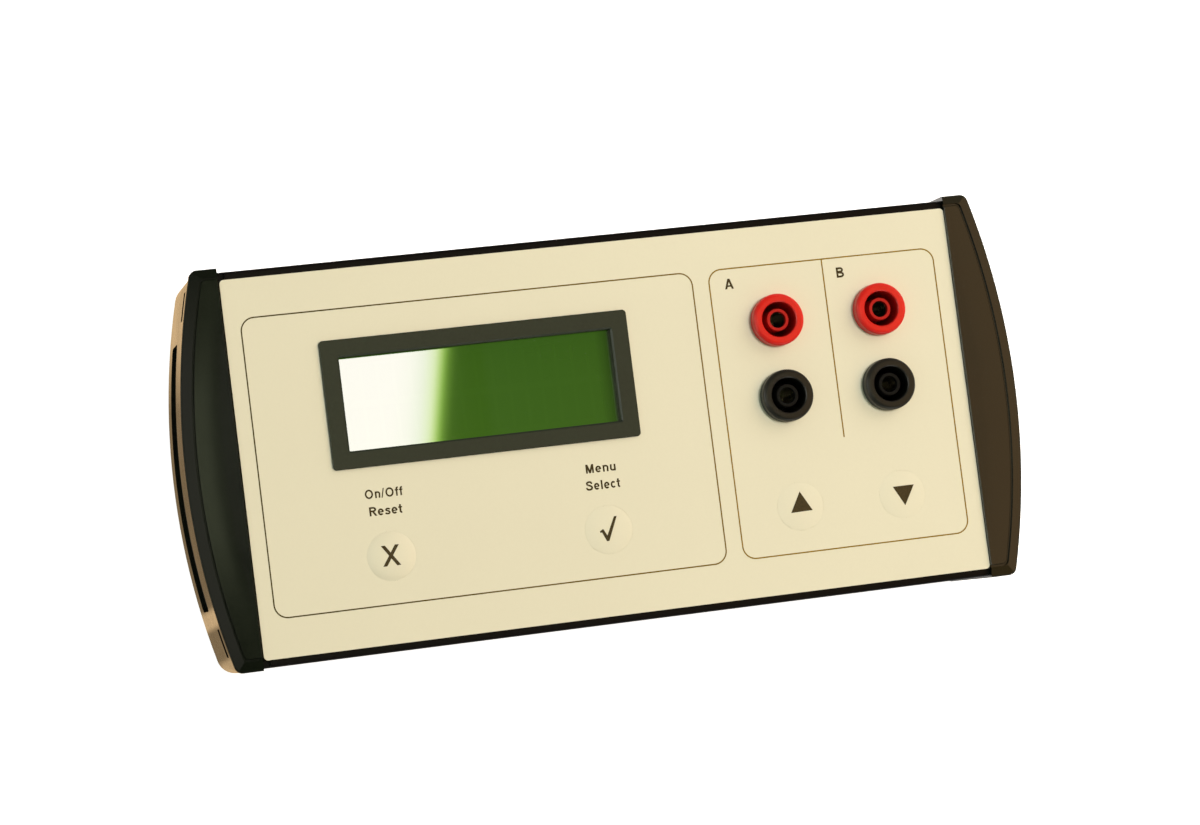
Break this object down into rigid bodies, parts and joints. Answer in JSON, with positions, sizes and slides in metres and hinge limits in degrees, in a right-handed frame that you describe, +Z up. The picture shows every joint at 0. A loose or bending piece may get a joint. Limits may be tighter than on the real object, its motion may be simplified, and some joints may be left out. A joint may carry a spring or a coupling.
{
  "type": "bench counter timer",
  "caption": "Low bench-top counter and timer box with bowed black end caps, cream printed panel, recessed green display, round membrane keys and red and black 4 mm safety sockets.",
  "frame": {"origin": "on the surface the feet stand on, under the middle of the box", "axes": "+X along the length to the right, +Y from the operator's edge to the rear edge, +Z up out of the panel"},
  "size_m": [0.2112, 0.0973, 0.0384],
  "materials": {
    "black_anodised": "satin black anodised extrusion",
    "plate_metal": "plain sheet",
    "cap_plastic": "fine-grained moulded black",
    "insert_plastic": "smooth matt black",
    "panel_film": "fine-textured cream polyester film, printed from behind",
    "plunger_plastic": "moulded black",
    "bezel_plastic": "fine-grained dark grey",
    "display_glass": "polished",
    "display_green": "unlit green display behind glass",
    "display_frame": "black",
    "circuit_board": "green solder mask",
    "steel": "zinc plated",
    "can_metal": "drawn can",
    "brass": "turned",
    "contact_brass": "nickel plated, turned",
    "socket_red_plastic": "moulded red, satin gloss",
    "socket_black_plastic": "moulded black, satin gloss",
    "wire_red": "insulated wire",
    "wire_black": "insulated wire",
    "battery_box_plastic": "fine-grained moulded black",
    "battery_skin": "printed jacket, plain",
    "foot_rubber": "matt",
    "foam": "open-cell foam"
  },
  "bodies": {
    "case": {"top_shell": "black_anodised", "bottom_shell": "black_anodised", "left_end_plate": "plate_metal", "right_end_plate": "plate_metal", "end_plate_screws": "steel", "left_end_cap": "cap_plastic", "right_end_cap": "cap_plastic", "left_side_insert": "insert_plastic", "right_side_insert": "insert_plastic", "membrane_overlay": "panel_film", "switch_housings": "plunger_plastic", "lcd_bezel": "bezel_plastic", "lcd_glass": "display_glass", "lcd_backlight": "display_green", "lcd_frame": "display_frame", "lcd_board": "circuit_board", "lcd_standoffs": "brass", "lcd_screws": "steel", "lcd_header": "plunger_plastic", "main_board": "circuit_board", "board_standoffs": "brass", "board_screws": "steel", "base_screws": "steel", "microcontroller": "plunger_plastic", "crystal": "can_metal", "capacitors": "can_metal", "socket_a_red": "socket_red_plastic", "socket_a_black": "socket_black_plastic", "socket_b_red": "socket_red_plastic", "socket_b_black": "socket_black_plastic", "socket_contacts": "contact_brass", "socket_nuts": "contact_brass", "socket_leads": "wire_black", "battery_box": "battery_box_plastic", "battery": "battery_skin", "battery_clip": "plunger_plastic", "battery_lead_red": "wire_red", "battery_lead_black": "wire_black", "rubber_feet": "foot_rubber"},
    "key_reset": {"key_dome_reset": "panel_film", "key_plunger_reset": "plunger_plastic"},
    "key_select": {"key_dome_select": "panel_film", "key_plunger_select": "plunger_plastic"},
    "key_up": {"key_dome_up": "panel_film", "key_plunger_up": "plunger_plastic"},
    "key_down": {"key_dome_down": "panel_film", "key_plunger_down": "plunger_plastic"},
    "lid": {"battery_lid": "battery_box_plastic", "lid_pad": "foam"}
  },
  "joints": [
    {"name": "key_reset_press", "type": "slide", "parent": "case", "child": "key_reset", "axis": [0, 0, -1], "range_m": [0, 0.00035], "stiffness_N_per_m": 2000},
    {"name": "key_select_press", "type": "slide", "parent": "case", "child": "key_select", "axis": [0, 0, -1], "range_m": [0, 0.00035], "stiffness_N_per_m": 2000},
    {"name": "key_up_press", "type": "slide", "parent": "case", "child": "key_up", "axis": [0, 0, -1], "range_m": [0, 0.00035], "stiffness_N_per_m": 2000},
    {"name": "key_down_press", "type": "slide", "parent": "case", "child": "key_down", "axis": [0, 0, -1], "range_m": [0, 0.00035], "stiffness_N_per_m": 2000},
    {"name": "battery_lid_slide", "type": "slide", "parent": "case", "child": "lid", "axis": [0, 1, 0], "range_m": [0, 0.01]}
  ]
}
